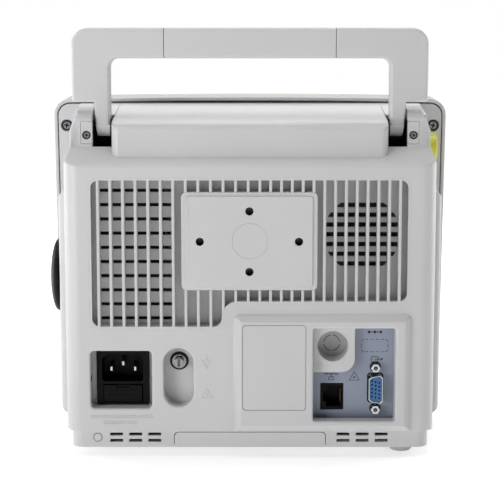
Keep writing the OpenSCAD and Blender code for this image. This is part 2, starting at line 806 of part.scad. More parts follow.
// Flat contact blade along Y with a blunt chamfered tip, centred at p in X-Z
module pin_blade(p) {
    y0 = inlet_back_y - 6;
    y1 = inlet_y - 5.2;
    intersection() {
        along_x(p[0] - 1, p[0] + 1) polygon([[y0, p[1] - 2], [y1 - 1.2, p[1] - 2], [y1, p[1] - 1.2],
            [y1, p[1] + 1.2], [y1 - 1.2, p[1] + 2], [y0, p[1] + 2]]);
        translate([0, 0, p[1] - 5]) linear_extrude(10) polygon([[p[0] - 1, y0], [p[0] + 1, y0],
            [p[0] + 1, y1 - 1.2], [p[0] + 0.6, y1], [p[0] - 0.6, y1], [p[0] - 1, y1 - 1.2]]);
    }
}
module pin_blades() {
    translate([socket_c[0], 0, socket_c[1] - 0.4])
        for (p = [[-7, -1.4], [7, -1.4], [0, 1.8]]) pin_blade(p);
}
module mains_inlet() {
    color(soft_black) difference() {
        union() {
            panel([inlet_c[0] - inlet_w / 2, inlet_c[0] + inlet_w / 2],
                [inlet_c[1] - inlet_h / 2, inlet_c[1] + inlet_h / 2], 1, inlet_floor_y, inlet_y);
            inlet_body(0, inlet_back_y, inlet_y - 1);
        }
        translate([socket_c[0], 0, socket_c[1]])
            along_y(inlet_y - socket_depth, inlet_y + 1) c14_outline(0);
        block([inlet_c[0] - 11.6, inlet_c[0] + 11.6], [inlet_y - 20.5, inlet_y + 1], drawer_z);
        pin_blades();
    }
}
module mains_pins() { color(steel) pin_blades(); }
module fuse_drawer() {
    x = inlet_c[0];
    across = [x - 11.3, x + 11.3];
    upright = drawer_z + [gap, -gap];
    color("#202124") difference() {
        union() {
            block(across, [inlet_y - 19.5, inlet_y - 1], upright);
            panel(across, upright, 0.8, inlet_y - 2, inlet_y + 0.8);
        }
        for (s = [-1, 1])
            block([x + s * 5 - 3, x + s * 5 + 3], [inlet_y - 26, inlet_y - 3],
                [drawer_z[0] + 2, drawer_z[1] + 1]);
        block([x - 4, x + 4], [inlet_y - 0.2, inlet_y + 2], [drawer_z[1] - 1.6, drawer_z[1] + 1]);
    }
}
module fuses() {
    color("#cfd4d6") for (s = [-1, 1]) {
        at = [inlet_c[0] + s * 5, drawer_z[0] + 5.1];
        rod_y(at, 2.1, inlet_y - 18.5, inlet_y - 5);
        for (y = [inlet_y - 19, inlet_y - 8.5]) rod_y(at, 2.6, y, y + 4.5);
    }
}
module earth_stud() {
    at = [earth_x, stud_z];
    color(steel) difference() {
        union() {
            rod_y(at, 3, earth_floor_y - 8, earth_floor_y + 7);
            rod_y(at, 4.2, earth_floor_y - 0.9, earth_floor_y + 2.2);
            translate([at[0], earth_floor_y - 5.2, at[1]]) rotate([-90, 0, 0])
                cylinder(r = 6, h = 3, $fn = 6);
        }
        translate([at[0] - 0.6, earth_floor_y + 4.6, at[1] - 4]) cube([1.2, 3, 8]);
    }
}

// ---------- connector pocket ----------
module connector_panel() {
    y1 = pocket_floor_y;
    color(label_blue) difference() {
        block([pocket_x[0] - 1.6, pocket_x[1] + 1.6], [y1 - 1.6, y1],
            [pocket_z[0] - 1.6, pocket_z[1] + 1.6]);
        along_y(y1 - 3, y1 + 1) polygon(concat([[0, 100], [boss_x - 0.3, 100]],
            arc([boss_x + boss_r, boss_z + boss_r], boss_r + 0.3, 180, 270), [[0, boss_z - 0.3]]));
        block([jack_x[0], jack_x[1]], [y1 - 3, y1 + 1], jack_z);
        video_hole(0.4, y1 - 3, y1 + 1);
        for (s = [-1, 1]) rod_y(video_at + [0, s * video_dz / 2], 1.8, y1 - 3, y1 + 1);
    }
}
module aux_port_boss() {
    r = boss_r;
    x1 = pocket_x[1] - 0.05;
    z1 = pocket_z[1] - 0.05;
    color(case_grey) difference() {
        along_y(aux_floor_y - 1.8, boss_y) polygon(concat([[x1, z1 - 2], [x1 - 2, z1], [boss_x, z1]],
            arc([boss_x + r, boss_z + r], r, 180, 270), [[x1, boss_z]]));
        rod_y(aux_at, aux_r, aux_floor_y, rear_y + 1);
    }
}
module network_jack() {
    x = jack_x;
    z = jack_z;
    y1 = pocket_floor_y - 0.2;
    color("#141517") difference() {
        block([x[0] + 0.15, x[1] - 0.15], [y1 - 18, y1], [z[0] + 0.15, z[1] - 0.15]);
        block([x[0] + 1.6, x[1] - 3.6], [y1 - 13, y1 + 1], [z[0] + 2, z[1] - 2]);
        block([x[1] - 4, x[1] - 1.6], [y1 - 13, y1 + 1], [z[0] + 5, z[1] - 5]);
        block([x[0] + 0.8, x[0] + 2], [y1 - 13, y1 + 1], [z[0] + 5, z[1] - 5]);
    }
}
// D-shaped outline of the video connector, upright
module video_outline(d) {
    h = 8.4 + d;
    w = 4.1 + d;
    t = 0.9;
    polygon([[-w, -h + 1.4], [-w + 1.4, -h], [w - 1.4, -h + t], [w, -h + t + 1.4],
        [w, h - t - 1.4], [w - 1.4, h - t], [-w + 1.4, h], [-w, h - 1.4]]);
}
module video_hole(d, y0, y1) {
    translate([video_at[0], 0, video_at[1]]) along_y(y0, y1) video_outline(d);
}
module video_shell() {
    y1 = pocket_floor_y;
    color(steel) {
        difference() {
            video_hole(0, y1 - 9, y1 + 5.8);
            video_hole(-0.5, y1 - 10, y1 + 7);
        }
        difference() {
            panel([video_at[0] - 6, video_at[0] + 6], [video_at[1] - 15.3, video_at[1] + 15.3], 1.5,
                y1 - 2.7, y1 - 1.7);
            video_hole(-0.1, y1 - 4, y1);
            for (s = [-1, 1]) rod_y(video_at + [0, s * video_dz / 2], 1.65, y1 - 4, y1);
        }
    }
}
module video_insulator() {
    y1 = pocket_floor_y;
    color("#2f5f94") difference() {
        video_hole(-0.55, y1 - 9, y1 + 5.2);
        for (c = [-1, 0, 1], i = [-2:2])
            rod_y(video_at + [c * 2.1, i * 2.29 + c * 0.55], 0.5, y1 - 4, y1 + 6);
    }
}
module video_jackscrews() {
    y1 = pocket_floor_y;
    color(steel) for (s = [-1, 1]) difference() {
        union() {
            translate([video_at[0], y1 + 0.05, video_at[1] + s * video_dz / 2]) rotate([-90, 0, 0])
                cylinder(r = 2.75, h = 4.6, $fn = 6);
            rod_y(video_at + [0, s * video_dz / 2], 1.4, y1 - 6, y1 + 1);
        }
        rod_y(video_at + [0, s * video_dz / 2], 1.2, y1 - 2, y1 + 6);
    }
}
module module_blank_cover() {
    color(case_grey) panel(blank_x, blank_z, 2, box_y - 1.95, box_y - 0.1);
}

// ---------- handle ----------
grip_split = 50;
handle_hw = handle_w / 2;
leg_in = 81.4;
tongue_r = handle_t / 2;
tongue_foot_x = 88.8;
top_z = pivot_z + handle_rise;
// Right half of the handle's outline in X-Z, from the split to the foot of the tongue
module arm_outline() {
    r_out = 9.3;
    r_in = 5.6;
    inner_z = top_z - grip_h;
    polygon(concat([[grip_split, inner_z]], arc([leg_in - r_in, inner_z - r_in], r_in, 90, 0),
        [[leg_in, pivot_z], [leg_in + 0.3, pivot_z - tongue_r], [tongue_foot_x, pivot_z - tongue_r],
        [ear_x[0] - 0.5, shoulder_z], [handle_hw, shoulder_z]],
        arc([handle_hw - r_out, top_z - r_out], r_out, 0, 90), [[grip_split, top_z]]));
}
module handle_arm() {
    y0 = pivot_y - handle_t / 2;
    y1 = pivot_y + handle_t / 2;
    difference() {
        intersection() {
            along_y(y0, y1) arm_outline();
            // the foot is rounded about the pivot so that it can turn in its slot
            union() {
                block([0, big], [y0, y1], [pivot_z, big]);
                rod_x([pivot_y, pivot_z], tongue_r, leg_in - 1, handle_hw + 1);
            }
        }
        rod_x([pivot_y, pivot_z], bush_r, 70, 100);
        block([grip_split - 1, grip_split + 6], [pivot_y - 3, pivot_y + 3], [top_z - 11, top_z - 6]);
    }
}
module handle_arm_right() { color(case_grey) handle_arm(); }
module handle_arm_left() { color(case_grey) mirror([1, 0, 0]) handle_arm(); }
module handle_grip() {
    y0 = pivot_y - handle_t / 2;
    color(case_grey) {
        block([-grip_split + 0.3, grip_split - 0.3], [y0, y0 + handle_t], [top_z - grip_h, top_z]);
        both_sides() block([grip_split - 0.4, grip_split + 5.5], [pivot_y - 2.9, pivot_y + 2.9],
            [top_z - 10.9, top_z - 6.1]);
    }
}
module handle_pins() {
    color(steel) both_sides() rod_x([pivot_y, pivot_z], pin_r, hood_hw - 5.5, ear_x[0] + 7.8);
}
module handle_bushes() {
    color("#e8e6dc") both_sides() difference() {
        rod_x([pivot_y, pivot_z], bush_r, leg_in, tongue_foot_x);
        rod_x([pivot_y, pivot_z], pin_r + 0.05, leg_in - 1, ear_x[0] + 1);
    }
}
module pin_covers() {
    at = cover_screw;
    color(case_grey) both_sides() difference() {
        panel([ear_x[0] + 0.1, cover_x], cover_z, 1.05, ear_rear_y - 2, ear_rear_y);
        rod_y(at, 2.5, ear_rear_y - 1.3, ear_rear_y + 1);
        rod_y(at, 1.4, ear_rear_y - 3, ear_rear_y);
    }
}

// ---------- knob, side parts ----------
shaft_r = 3;
collar_x = [99.2, 101.2];
encoder_x = [97, 110.5];
module control_knob() {
    dome = 4.6;
    x1 = knob_top_x - dome;
    color(soft_black) difference() {
        translate([knob_base_x, knob_at[0], knob_at[1]]) rotate([0, 90, 0]) rotate_extrude($fn = 96)
            polygon(concat([[0, 0], [knob_r - 0.6, 0], [knob_r, 0.6]],
                [for (a = [0:9:90]) [knob_r * cos(a), x1 - knob_base_x + dome * sin(a)]]));
        rod_x(knob_at, shaft_r + 0.05, knob_base_x - 1, knob_base_x + 4);
    }
}
module encoder_shaft() {
    color(steel) {
        rod_x(knob_at, shaft_r, collar_x[0], knob_base_x + 3.8);
        rod_x(knob_at, 5, collar_x[0], collar_x[1]);
    }
}
module encoder_body() {
    x = encoder_x;
    color("#3a3d42") difference() {
        block(x, [knob_at[0] - 7, knob_at[0] + 7], [knob_at[1] - 7, knob_at[1] + 7]);
        rod_x(knob_at, 5.3, collar_x[0] - knob_press - 0.4, collar_x[1] + 0.02);
        rod_x(knob_at, shaft_r + 0.06, collar_x[0], x[1] + 1);
    }
}
module side_door() {
    r = 2.5;
    edge = 0.8;
    x = pod_x - 1;
    y = side_door_y;
    z = side_door_z;
    color(case_grey) {
        along_x(x - edge, x + edge) polygon(concat([[y[0], z[0]], [y[1], z[0]]],
            arc([y[1] - r, z[1] - r], r, 0, 90), arc([y[0] + r, z[1] - r], r, 90, 180)));
        rod_y([x, z[0]], edge, y[0], y[1]);
    }
}
// Round panel socket with its axis along X, open to -X, with a seat for its insert
module round_socket(at, r, x_out) {
    difference() {
        rod_x(at, r, x_out, socket_back_x);
        rod_x(at, r - 1.9, x_out - 1, insert_x);
        rod_x(at, insert_r, insert_x - 1, socket_back_x - 3);
    }
}
module ecg_socket() {
    color("#c9d24a") {
        round_socket(ecg_at, 8, -113.6);
        difference() {
            rod_x(ecg_at, 8.7, -113, -housing_hw);
            rod_x(ecg_at, 7.9, -115, -100);
        }
    }
}
module sensor_sockets() {
    color("#3f6fa8") {
        round_socket(spo2_at, 8, -111.6);
        round_socket(ibp_at, 8, -111.6);
    }
}
module cuff_port() {
    color(steel) difference() {
        rod_x(nibp_at, 6, -112, socket_back_x);
        rod_x(nibp_at, 2.5, -115, socket_back_x - 3);
    }
}
module temperature_sockets() {
    color("#7b6a58") for (p = temp_at) difference() {
        rod_x(p, 4.5, -110.6, socket_back_x);
        rod_x(p, 3.2, -115, socket_back_x - 3);
    }
}
module socket_inserts() {
    pin_circle = 3.2;
    color(soft_black) for (p = [ecg_at, spo2_at, ibp_at]) difference() {
        rod_x(p, insert_r, insert_x, socket_back_x - 3);
        for (a = [0:60:300]) rod_x(p + pin_circle * [cos(a), sin(a)], 0.6, insert_x - 1, insert_x + 4);
        rod_x(p, 0.6, insert_x - 1, insert_x + 4);
    }
}

// ---------- keys ----------
module front_key(i) {
    color("#c9cbcc") {
        key_block(key_x(i), 0, -front_y - 0.6, -front_y + wall + 0.4);
        key_block(key_x(i), 1.4, -front_y + wall + 0.2, -front_y + wall + 1.4);
    }
}
module power_button() {
    color("#c9cbcc") {
        rod_y([power_x, key_z], power_r, -front_y - 0.6, -front_y + wall + 0.4);
        rod_y([power_x, key_z], power_r + 1.4, -front_y + wall + 0.2, -front_y + wall + 1.4);
    }
}
module status_lights() {
    color("#cfe3d2") for (s = [0, 1]) rod_y([power_x + 16 + 7 * s, key_z], 1.5,
        -front_y, -front_y + wall + 3.8);
}

rear_housing();
top_cover();
knob_panel();
socket_panel();
vent_grille();
mount_plate();
mount_inserts();
front_bezel();
display_back_frame();
case_screws();
screen_lens();
alarm_lamp();
lcd_module();
main_board();
board_parts();
chassis_plate();
power_board();
parameter_board();
key_board();
battery_pack();
battery_bay();
battery_door();
pressure_unit();
speaker_frame();
speaker_cone();
rubber_feet();
mains_inlet();
mains_pins();
fuse_drawer();
fuses();
earth_stud();
connector_panel();
aux_port_boss();
network_jack();
video_shell();
video_insulator();
video_jackscrews();
module_blank_cover();
handle_arm_left();
handle_arm_right();
handle_grip();
handle_pins();
handle_bushes();
pin_covers();
control_knob();
encoder_shaft();
encoder_body();
side_door();
ecg_socket();
sensor_sockets();
cuff_port();
temperature_sockets();
socket_inserts();
status_lights();
power_button();
front_key(0);  // key_1
front_key(1);  // key_2
front_key(2);  // key_3
front_key(3);  // key_4
front_key(4);  // key_5
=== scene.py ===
"""Looks of the patient monitor: materials, edge rounding, small surface details, studio and camera."""

import json
import math

import bmesh
import bpy
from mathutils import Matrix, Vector


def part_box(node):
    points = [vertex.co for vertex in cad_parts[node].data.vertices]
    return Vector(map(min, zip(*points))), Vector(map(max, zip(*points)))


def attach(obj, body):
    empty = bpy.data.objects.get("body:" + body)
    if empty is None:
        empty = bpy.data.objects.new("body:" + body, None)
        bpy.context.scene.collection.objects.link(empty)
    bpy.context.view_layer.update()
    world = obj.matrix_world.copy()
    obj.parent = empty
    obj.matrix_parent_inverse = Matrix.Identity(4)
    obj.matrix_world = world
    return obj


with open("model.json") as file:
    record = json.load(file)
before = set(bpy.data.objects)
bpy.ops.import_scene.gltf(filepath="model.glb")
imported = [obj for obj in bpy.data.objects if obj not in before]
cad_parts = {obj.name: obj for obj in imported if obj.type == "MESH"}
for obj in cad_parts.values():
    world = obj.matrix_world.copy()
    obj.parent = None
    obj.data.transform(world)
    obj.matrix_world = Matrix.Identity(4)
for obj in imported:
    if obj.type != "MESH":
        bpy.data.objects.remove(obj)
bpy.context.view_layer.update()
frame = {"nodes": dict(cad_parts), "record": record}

MM = 0.001
nodes = frame["nodes"]
scene = bpy.context.scene
scene.view_settings.view_transform = "Standard"


# ---------- materials ----------
def shader(name, **sockets):
    """A material whose Principled sockets are set straight away; the patterns are linked later."""
    material = bpy.data.materials.new(name)
    material.use_nodes = True
    tree = material.node_tree
    bsdf = tree.nodes["Principled BSDF"]
    for socket, value in sockets.items():
        bsdf.inputs[socket.replace("_", " ")].default_value = value
    return material, tree, bsdf


def add(tree, kind, **values):
    """Adds a node, with its input sockets or its properties set by name."""
    node = tree.nodes.new(kind)
    for key, value in values.items():
        if key in node.inputs:
            node.inputs[key].default_value = value
        else:
            setattr(node, key, value)
    return node


def noise(tree, scale, detail=3.0):
    place = tree.nodes.get("Place") or add(tree, "ShaderNodeTexCoord", name="Place")
    pattern = add(tree, "ShaderNodeTexNoise", Scale=scale, Detail=detail)
    tree.links.new(place.outputs["Object"], pattern.inputs["Vector"])
    return pattern.outputs["Fac"]


def spread(tree, source, low, high):
    """Maps the middle of a noise to the range from low to high."""
    node = add(tree, "ShaderNodeMapRange")
    for socket, value in (("From Min", 0.3), ("From Max", 0.7), ("To Min", low), ("To Max", high)):
        node.inputs[socket].default_value = value
    tree.links.new(source, node.inputs["Value"])
    return node.outputs["Result"]


def tint(tree, source, dark, light):
    ramp = add(tree, "ShaderNodeValToRGB")
    ramp.color_ramp.elements[0].position, ramp.color_ramp.elements[1].position = 0.3, 0.7
    ramp.color_ramp.elements[0].color, ramp.color_ramp.elements[1].color = (*dark, 1), (*light, 1)
    tree.links.new(source, ramp.inputs["Fac"])
    return ramp.outputs["Color"]


def bump(tree, bsdf, source, distance, strength=0.5):
    node = add(tree, "ShaderNodeBump", Strength=strength, Distance=distance)
    tree.links.new(source, node.inputs["Height"])
    tree.links.new(node.outputs["Normal"], bsdf.inputs["Normal"])


def moulded(name, colour, rough=0.45, vary=0.02, grain=2600, depth=0.00003, **sockets):
    """Moulded plastic or rubber: a fine spark texture, and slow changes of colour and gloss."""
    material, tree, bsdf = shader(name, **sockets)
    slow = noise(tree, 18)
    dark = [c * (1 - vary) for c in colour]
    light = [min(1, c * (1 + vary)) for c in colour]
    tree.links.new(tint(tree, slow, dark, light), bsdf.inputs["Base Color"])
    tree.links.new(spread(tree, noise(tree, 140), rough - 0.04, rough + 0.04), bsdf.inputs["Roughness"])
    bump(tree, bsdf, noise(tree, grain, 2), depth)
    return material


def metal(name, colour, rough=0.22, stretch=(1, 1, 30), depth=0.000004):
    """Plated or brushed metal, with fine lines across its length."""
    material, tree, bsdf = shader(name, Metallic=1.0)
    place = add(tree, "ShaderNodeTexCoord")
    squeeze = add(tree, "ShaderNodeMapping")
    squeeze.inputs["Scale"].default_value = stretch
    lines = add(tree, "ShaderNodeTexNoise", Scale=900, Detail=4)
    tree.links.new(place.outputs["Object"], squeeze.inputs["Vector"])
    tree.links.new(squeeze.outputs["Vector"], lines.inputs["Vector"])
    fac = lines.outputs["Fac"]
    dark = [c * 0.88 for c in colour]
    tree.links.new(tint(tree, fac, dark, colour), bsdf.inputs["Base Color"])
    tree.links.new(spread(tree, fac, rough * 0.8, rough * 1.3), bsdf.inputs["Roughness"])
    bump(tree, bsdf, fac, depth)
    return material


# Slot: colour, roughness, and what differs from plain moulded plastic
PLASTICS = {
    "case_plastic": ((0.575, 0.575, 0.58), 0.4, {}),
    "screen_glass": ((0.010, 0.011, 0.013), 0.1, {"depth": 0.0}),
    "lamp_plastic": ((0.60, 0.585, 0.52), 0.45, {}),
    "lcd_black": ((0.02, 0.02, 0.022), 0.3, {}),
    "circuit_board": ((0.012, 0.07, 0.03), 0.4, {"vary": 0.2, "grain": 500}),
    "chip_black": ((0.012, 0.012, 0.014), 0.5, {"vary": 0.1}),
    "battery_wrap": ((0.07, 0.08, 0.10), 0.35, {"vary": 0.08}),
    "inner_plastic": ((0.35, 0.36, 0.37), 0.5, {}),
    "cone_paper": ((0.05, 0.05, 0.055), 0.8, {"vary": 0.15, "grain": 900, "depth": 0.0001}),
    "foot_rubber": ((0.42, 0.42, 0.43), 0.7, {"vary": 0.06, "grain": 1200, "depth": 0.00006}),
    "inlet_black": ((0.002, 0.002, 0.003), 0.4, {"vary": 0.1, "Specular_IOR_Level": 0.12}),
    "fuse_glass": ((0.70, 0.73, 0.75), 0.1, {"Transmission_Weight": 0.5}),
    "label_film": ((0.27, 0.30, 0.38), 0.32, {"vary": 0.03, "grain": 3200}),
    "video_blue": ((0.035, 0.13, 0.31), 0.4, {"vary": 0.06}),
    "bush_nylon": ((0.75, 0.74, 0.69), 0.4, {}),
    "knob_black": ((0.003, 0.003, 0.004), 0.45, {"vary": 0.1, "Specular_IOR_Level": 0.2}),
    "ecg_green": ((0.66, 0.66, 0.09), 0.25, {}),
    "socket_blue": ((0.06, 0.20, 0.45), 0.3, {}),
    "socket_brown": ((0.20, 0.14, 0.10), 0.35, {}),
    "light_pipe": ((0.55, 0.70, 0.58), 0.2, {"Transmission_Weight": 0.3}),
    "key_grey": ((0.42, 0.43, 0.45), 0.5, {"grain": 1800, "depth": 0.00005}),
}
# Slot: colour and roughness
METALS = {
    # The inserts' brass is near black: painted shade of the deep mounting holes they sit in.
    "brass_inserts": ((0.05, 0.035, 0.02), 0.35),
    "screw_steel": ((0.34, 0.35, 0.37), 0.28),
    "sheet_steel": ((0.60, 0.61, 0.63), 0.35),
    "pump_metal": ((0.45, 0.47, 0.50), 0.4),
    "contact_metal": ((0.60, 0.61, 0.63), 0.2),
}
materials = {slot: moulded(slot, *look, **other) for slot, (*look, other) in PLASTICS.items()}
materials.update({slot: metal(slot, *look) for slot, look in METALS.items()})
case = materials["case_plastic"]
# Printed marks; the same black also paints the shade in the gap round the plinth plug.
ink_and_gap_shade = moulded("printed_ink_and_gap_shade", (0.02, 0.02, 0.025), 0.4, vary=0.1)
icon_ink = moulded("key_icon_ink", (0.06, 0.07, 0.09), 0.4)
screen_area = moulded("screen_area", (0.016, 0.018, 0.022), 0.22, depth=0.0)
gold = metal("contact_gold", (0.30, 0.22, 0.10), 0.3)
# Near-black used as painted shade in slots, holes, recesses and gaps where shade falls.
shadow_black = moulded("painted_shade_black", (0.004, 0.004, 0.005), 0.7, vary=0.1)


# ---------- edge rounding of the CAD nodes ----------
COVER_SPLIT_Z = 165.8  # the seam between rear_housing and top_cover
FINE_EDGE = 0.2  # bevel width of the nodes that aren't in EDGES
SHARP = math.radians(24)


def around(node, x=1.0, y=1.0, z=1.0, down=None):
    """A node's box in mm, grown by x, y and z each way, or by down at its lower side."""
    low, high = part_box(node)
    low, high = low / MM, high / MM
    under = z if down is None else down
    return ((low.x - x, high.x + x), (low.y - y, high.y + y), (low.z - under, high.z + z))


# Inner walls, pocket floors and the seams of the side panels, whose edges stay as they are
INSIDE_HOUSING = ((-100, 100), (-24, 53.5), (16, 170))
PANEL_SEAMS = ((-109, 109), (-25, 31), (16, 170))
HOOD_SIDES = ((-81, 81), (-25, 47), (191, 203))
INSIDE_COVER = ((-79, 79), (-25, 47), (160, 210))
PIN_BORES = ((-92, 92), (18, 37), (170, 197.5))
INSIDE_BEZEL = ((-117, 117), (-57.5, -25), (4, 204))
HANDLE_FEET = ((-92, 92), (15, 40), (180, 193.2))

# Bevel width in mm of each node's outer edges, then the zones whose edges have another width
HANDLE_ARM = (1.8, [
    (around("handle_grip", 1.5, 5, 1), 0.25),
    (around("handle_bushes", 1, 2, 1), 0.0),
    (HANDLE_FEET, 0.0),
])
EDGES = {
    "rear_housing": (0.6, [
        (around("battery_door", 90, 90, 2.2), 0.22),
        (around("mains_inlet", 4, 10, 3), 1.2),
        (around("earth_stud", 3, 4, 6, down=22), 1.2),
        (around("connector_panel", 0.5, 13, 0.5), 1.3),
        (around("module_blank_cover", 0.6, 1, 0.6), 0.2),
        (around("vent_grille", 0.5, 1, 0.5), 0.0),
        (INSIDE_HOUSING, 0.0),
        (PANEL_SEAMS, 0.0),
    ]),
    "top_cover": (0.9, [
        (around("pin_covers", 1, 2, 0.6), 0.2),
        (around("vent_grille", 0.5, 1, 0.5), 0.0),
        (around("ecg_socket", 6, 4, 4), 0.0),
        (HOOD_SIDES, 0.6),
        (INSIDE_COVER, 0.0),
        (PIN_BORES, 0.0),
    ]),
    "knob_panel": (0.6, [(around("side_door", 2, 1, 2), 0.2)]),
    "front_bezel": (0.8, [
        (around("key_3", 140, 4, 2), 0.3),
        (around("screen_lens", 2, 8, 2), 0.4),
        (INSIDE_BEZEL, 0.0),
    ]),
    "handle_arm_left": HANDLE_ARM,
    "handle_arm_right": HANDLE_ARM,
    "handle_grip": (1.8, [(around("handle_arm_left"), 0.25), (around("handle_arm_right"), 0.25)]),
}
for width, names in (
    (0.1, ("case_screws", "mains_pins")),
    (0.12, ("video_shell",)),
    (0.25, ("battery_door", "module_blank_cover", "side_door", "earth_stud")),
    (0.3, ("display_back_frame", "mains_inlet", "fuse_drawer", "screen_lens")),
    (0.3, ("sensor_sockets", "cuff_port")),
    (0.4, ("rubber_feet", "power_button", "ecg_socket")),
    (0.5, ("socket_panel", "mount_plate", "aux_port_boss", "control_knob", "alarm_lamp")),
    (0.5, tuple(f"key_{i}" for i in range(1, 6))),
):
    EDGES.update({name: (width, []) for name in names})
# The grille's bars are eased in the CAD, and its floor has too many holes to merge into whole faces
NO_BEVEL = {"vent_grille"}
# The arched top edge is made of facets that mustn't be merged
ARCHED = {"alarm_lamp", "front_bezel"}


def edge_marks(name, widths, zones):
    """Geometry nodes that store each outer edge's share of the widest bevel; the cover's seam has none."""
    width, widest = widths
    group = bpy.data.node_groups.new(f"{name}_edges", "GeometryNodeTree")
    group.interface.new_socket("Geometry", in_out="INPUT", socket_type="NodeSocketGeometry")
    group.interface.new_socket("Geometry", in_out="OUTPUT", socket_type="NodeSocketGeometry")
    start, end = add(group, "NodeGroupInput"), add(group, "NodeGroupOutput")
    link = group.links.new

    def maths(kind, *values):
        node = add(group, "ShaderNodeMath", operation=kind)
        for socket, value in zip(node.inputs, values):
            if isinstance(value, bpy.types.NodeSocket):
                link(value, socket)
            else:
                socket.default_value = value
        return node.outputs[0]

    at = add(group, "ShaderNodeSeparateXYZ")
    link(add(group, "GeometryNodeInputPosition").outputs[0], at.inputs[0])
    angle = add(group, "GeometryNodeInputMeshEdgeAngle").outputs
    sharp = maths("GREATER_THAN", angle["Unsigned Angle"], SHARP)
    outer = maths("GREATER_THAN", angle["Signed Angle"], SHARP)
    from_seam = maths("ABSOLUTE", maths("SUBTRACT", at.outputs["Z"], COVER_SPLIT_Z * MM))
    seam = maths("LESS_THAN", from_seam, 0.02 * MM)
    weight = maths("MULTIPLY", outer, width / widest)
    for ranges, zone_width in zones:
        outside = None
        for socket, (low, high) in zip(at.outputs, ranges):
            away = maths("ABSOLUTE", maths("SUBTRACT", socket, (low + high) / 2 * MM))
            past = maths("GREATER_THAN", away, (high - low) / 2 * MM)
            outside = past if outside is None else maths("MAXIMUM", outside, past)
        inside = maths("MULTIPLY", outer, maths("SUBTRACT", 1.0, outside))
        zone_weight = maths("MULTIPLY", inside, zone_width / widest)
        weight = maths("MAXIMUM", maths("MULTIPLY", weight, outside), zone_weight)
    weight = maths("MULTIPLY", weight, maths("SUBTRACT", 1.0, seam))

    smooth = add(group, "GeometryNodeSetShadeSmooth", domain="FACE")
    creased = add(group, "GeometryNodeSetShadeSmooth", domain="EDGE")
    creased.inputs["Shade Smooth"].default_value = False
    store = add(group, "GeometryNodeStoreNamedAttribute", data_type="FLOAT", domain="EDGE")
    store.inputs["Name"].default_value = "bevel_weight_edge"
    link(start.outputs[0], smooth.inputs["Geometry"])
    link(smooth.outputs[0], creased.inputs["Geometry"])
    bevelled = maths("GREATER_THAN", weight, 0.0)
    link(maths("GREATER_THAN", maths("SUBTRACT", sharp, bevelled), 0.5), creased.inputs["Selection"])
    link(creased.outputs[0], store.inputs["Geometry"])
    link(weight, store.inputs["Value"])
    link(store.outputs[0], end.inputs[0])
    return group


def round_edges(node, name):
    width, zones = EDGES.get(name, (FINE_EDGE, []))
    widest = max([width] + [zone_width for _, zone_width in zones])
    weld = node.modifiers.new("weld", "WELD")
    weld.merge_threshold = 0.002 * MM
    if name in NO_BEVEL:
        node.modifiers.new("mark_edges", "NODES").node_group = edge_marks(name, (0.0, widest), [])
        return
    flats = node.modifiers.new("flats", "DECIMATE")
    flats.decimate_type = "DISSOLVE"
    flats.angle_limit = math.radians(0.1 if name in ARCHED else 0.5)
    node.modifiers.new("mark_edges", "NODES").node_group = edge_marks(name, (width, widest), zones)
    bevel = node.modifiers.new("bevel", "BEVEL")
    bevel.limit_method = "WEIGHT"
    bevel.width = widest * MM
    bevel.segments = 3
    bevel.miter_outer = "MITER_ARC"
    bevel.use_clamp_overlap = False
    normals = node.modifiers.new("normals", "WEIGHTED_NORMAL")
    normals.keep_sharp = True
    normals.weight = 80


# The handle pins are near-black steel, painted shade of the slots they turn in; the earth stud gets a
# darker steel than the other contacts.
own_metal_and_painted_shade = {
    "handle_pins": metal("pin_steel_painted_shade", (0.03, 0.03, 0.032), 0.4),
    "earth_stud": metal("stud_metal", (0.30, 0.30, 0.31), 0.22),
}
slot_of = {row["node"]: row["material_slot"] for row in frame["record"]["subparts"]}
for name, node in nodes.items():
    node.data.materials.clear()
    node.data.materials.append(own_metal_and_painted_shade.get(name, materials[slot_of[name]]))
    round_edges(node, name)


# ---------- mesh helpers for the small pieces ----------
def finish_piece(name, bm, material, body, edge=0.0):
    bmesh.ops.recalc_face_normals(bm, faces=bm.faces)
    mesh = bpy.data.meshes.new(name)
    bm.to_mesh(mesh)
    bm.free()
    piece = bpy.data.objects.new(name, mesh)
    scene.collection.objects.link(piece)
    mesh.materials.append(material)
    if edge:
        bevel = piece.modifiers.new("bevel", "BEVEL")
        bevel.width, bevel.segments, bevel.limit_method = edge * MM, 2, "ANGLE"
    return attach(piece, body)


def ribbon(bm, points, width, lift, closed=False):
    """A strip of that width along points; lift(x, z, up) turns a flat place and a height into a point."""
    flat = [Vector(p) for p in points]
    count = len(flat)
    sides = []
    for i, p in enumerate(flat):
        before = flat[i - 1] if closed or i else flat[0] * 2 - flat[1]
        after = flat[(i + 1) % count] if closed or i < count - 1 else p * 2 - flat[i - 1]
        d0, d1 = (p - before).normalized(), (after - p).normalized()
        n0, n1 = Vector((-d0.y, d0.x)), Vector((-d1.y, d1.x))
        n = (n0 + n1).normalized() if (n0 + n1).length > 1e-6 else n0
        reach = width / 2 / max(0.4, n.dot(n0))
        sides.append((p + n * reach, p - n * reach))
    rings = []
    for a, b in sides:
        corners = ((a, 0), (a, 1), (b, 1), (b, 0))
        rings.append([bm.verts.new(lift(q.x, q.y, up)) for q, up in corners])
    spans = range(count if closed else count - 1)
    for i in spans:
        r0, r1 = rings[i], rings[(i + 1) % count]
        for k in range(4):
            bm.faces.new((r0[k], r0[(k + 1) % 4], r1[(k + 1) % 4], r1[k]))
    if not closed:
        bm.faces.new(rings[0])
        bm.faces.new(rings[-1][::-1])


